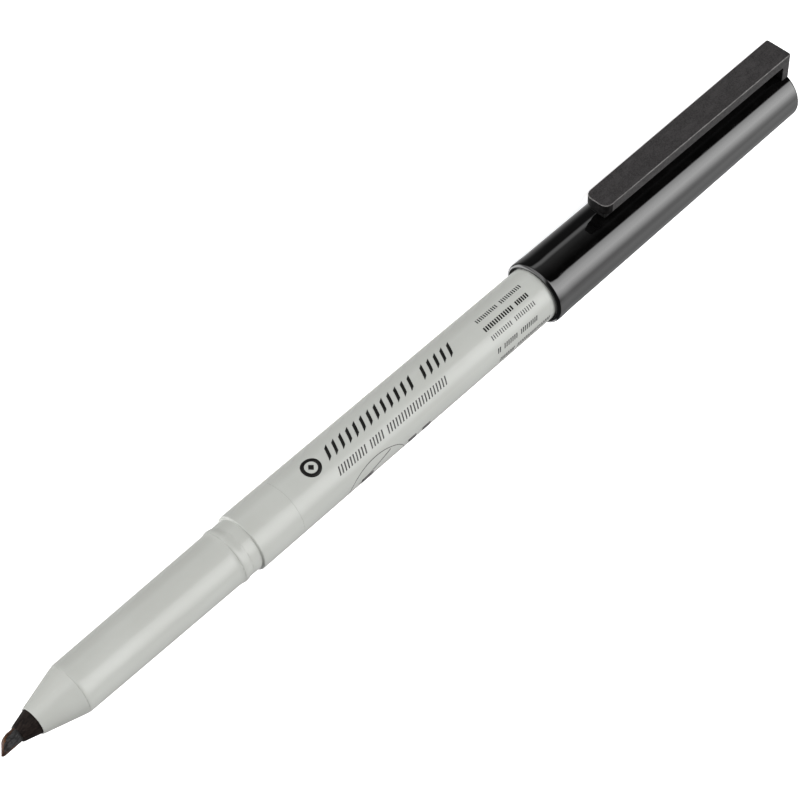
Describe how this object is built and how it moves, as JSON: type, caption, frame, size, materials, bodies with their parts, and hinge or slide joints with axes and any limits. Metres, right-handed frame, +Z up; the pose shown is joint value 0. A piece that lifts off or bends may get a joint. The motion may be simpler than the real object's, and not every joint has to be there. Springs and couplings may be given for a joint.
{
  "type": "calligraphy marker",
  "caption": "Slim marker with a slanted chisel nib, pale grey grip and barrel, and a black cap with a pocket clip posted on its tail.",
  "frame": {"origin": "bottom centre of the bounding box, on the surface that the pen lies on", "axes": "+X along the pen toward the nib, +Z up. The pen has rolled to rest on the edge of its pocket clip, which is on the -Y side"},
  "size_m": [0.1652, 0.015, 0.0108],
  "materials": {
    "nib_fibre": "porous pressed fibre, inked dark brown-black",
    "holder_black": "satin moulded black",
    "grip_grey": "satin moulded pale grey",
    "barrel_grey": "semi-gloss moulded pale grey with dark print marks",
    "reservoir_fibre": "ink-soaked fibre bundle",
    "sleeve_film": "thin clear-white film",
    "cap_black": "polished black",
    "liner_grey": "satin natural polyethylene",
    "clip_black": "fine-textured matte black"
  },
  "bodies": {
    "pen": {"chisel_nib": "nib_fibre", "nib_holder": "holder_black", "grip_section": "grip_grey", "barrel": "barrel_grey", "ink_reservoir": "reservoir_fibre", "reservoir_sleeve": "sleeve_film"},
    "cap": {"cap_shell": "cap_black", "inner_cap": "liner_grey"},
    "clip": {"clip": "clip_black"}
  },
  "joints": [
    {"name": "cap_pull_off", "type": "slide", "parent": "pen", "child": "cap", "axis": [-1, 0, 0], "range_m": [0, 0.032]},
    {"name": "clip_flex", "type": "hinge", "parent": "cap", "child": "clip", "pos_m": [-0.08175, -0.00298, 0.00359], "axis": [0, 0.3358, -0.9419], "range_deg": [0, 5], "stiffness_Nm_per_rad": 0.5}
  ]
}
